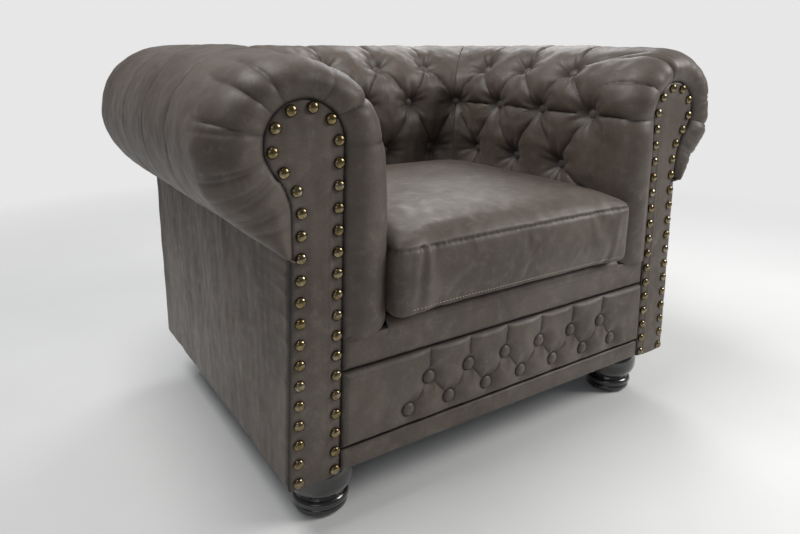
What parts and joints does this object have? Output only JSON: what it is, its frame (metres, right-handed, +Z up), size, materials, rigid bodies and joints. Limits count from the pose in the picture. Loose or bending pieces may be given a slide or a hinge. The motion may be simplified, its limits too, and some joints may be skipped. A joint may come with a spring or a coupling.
{
  "type": "chesterfield armchair",
  "caption": "Upholstered armchair with rolled arms and back at one height, buttoned padding, nailed keyhole arm fronts, a loose seat cushion and turned feet.",
  "frame": {"origin": "on the floor under the middle of the chair's bounding box", "axes": "+X to the right of a viewer facing the chair, +Y to the back, +Z up; the front faces -Y"},
  "size_m": [1.0698, 0.822, 0.742],
  "materials": {
    "seat_cloth": "mottled grey-brown brushed microfibre",
    "black_cloth": "thin dark woven cloth",
    "seat_foam": "pale upholstery foam and wadding",
    "frame_timber": "unfinished beech and plywood",
    "lacquered_foot": "glossy black lacquer",
    "felt_glide": "matt",
    "bare_steel": "zinc plated",
    "spring_steel": "dark drawn wire and clip strip",
    "aged_brass": "antiqued, dull in the hollows",
    "zip_tape": "woven tape with closed plastic teeth"
  },
  "bodies": {
    "chair": {"arm_ribs": "frame_timber", "back_buttons": "seat_cloth", "back_cover": "seat_cloth", "back_padding": "seat_foam", "back_ribs": "frame_timber", "back_scroll_rail": "frame_timber", "back_stay_rail": "frame_timber", "back_top_rail": "frame_timber", "corner_blocks": "frame_timber", "dust_cover": "black_cloth", "foot_front_left": "lacquered_foot", "foot_front_right": "lacquered_foot", "foot_glides": "felt_glide", "foot_rear_left": "lacquered_foot", "foot_rear_right": "lacquered_foot", "foot_studs": "bare_steel", "foot_tee_nuts": "bare_steel", "front_base_strip": "seat_cloth", "front_border": "seat_cloth", "front_panel_buttons": "seat_cloth", "front_seat_rail": "frame_timber", "front_tufted_panel": "seat_cloth", "left_arm_buttons": "seat_cloth", "left_arm_cover": "seat_cloth", "left_arm_facing": "seat_cloth", "left_arm_padding": "seat_foam", "left_arm_scroll_rail": "frame_timber", "left_arm_stay_rail": "frame_timber", "left_arm_top_rail": "frame_timber", "left_base_rail": "frame_timber", "left_facing_nails": "aged_brass", "left_front_post": "frame_timber", "left_outside_panel": "seat_cloth", "left_rear_post": "frame_timber", "left_seat_rail": "frame_timber", "outside_back_panel": "seat_cloth", "rear_base_rail": "frame_timber", "rear_seat_rail": "frame_timber", "right_arm_buttons": "seat_cloth", "right_arm_cover": "seat_cloth", "right_arm_facing": "seat_cloth", "right_arm_padding": "seat_foam", "right_arm_scroll_rail": "frame_timber", "right_arm_stay_rail": "frame_timber", "right_arm_top_rail": "frame_timber", "right_base_rail": "frame_timber", "right_facing_nails": "aged_brass", "right_front_post": "frame_timber", "right_outside_panel": "seat_cloth", "right_rear_post": "frame_timber", "right_seat_rail": "frame_timber", "seat_deck_cloth": "black_cloth", "seat_deck_pad": "seat_foam", "seat_springs": "spring_steel", "spring_clips": "spring_steel", "spring_cover": "black_cloth", "spring_tie_wires": "spring_steel"},
    "seat_cushion": {"cushion_core": "seat_foam", "cushion_cover": "seat_cloth", "cushion_zip": "zip_tape"}
  },
  "joints": [
    {"name": "cushion_lift", "type": "slide", "parent": "chair", "child": "seat_cushion", "axis": [0, 0, 1], "range_m": [0, 0.42]}
  ]
}
